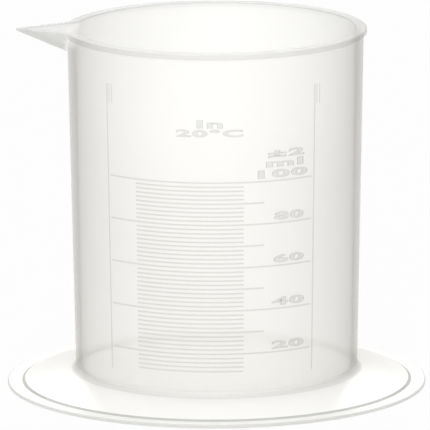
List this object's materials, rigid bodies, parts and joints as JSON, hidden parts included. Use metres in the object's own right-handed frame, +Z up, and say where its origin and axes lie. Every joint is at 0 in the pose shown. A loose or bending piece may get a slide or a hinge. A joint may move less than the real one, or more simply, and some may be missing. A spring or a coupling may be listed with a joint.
{
  "type": "graduated cylinder",
  "caption": "Squat one-piece plastic measuring cylinder with a pouring beak, a raised volume scale and a wide round foot.",
  "frame": {"origin": "centre of the foot's underside, on the tube's axis", "axes": "+Z up along the tube's axis, -X towards the beak's tip, -Y towards the scale"},
  "size_m": [0.0834, 0.0834, 0.072],
  "materials": {
    "natural_polypropylene": "milky translucent, smooth moulded"
  },
  "bodies": {
    "root": {"graduated_cylinder": "natural_polypropylene"}
  },
  "joints": []
}
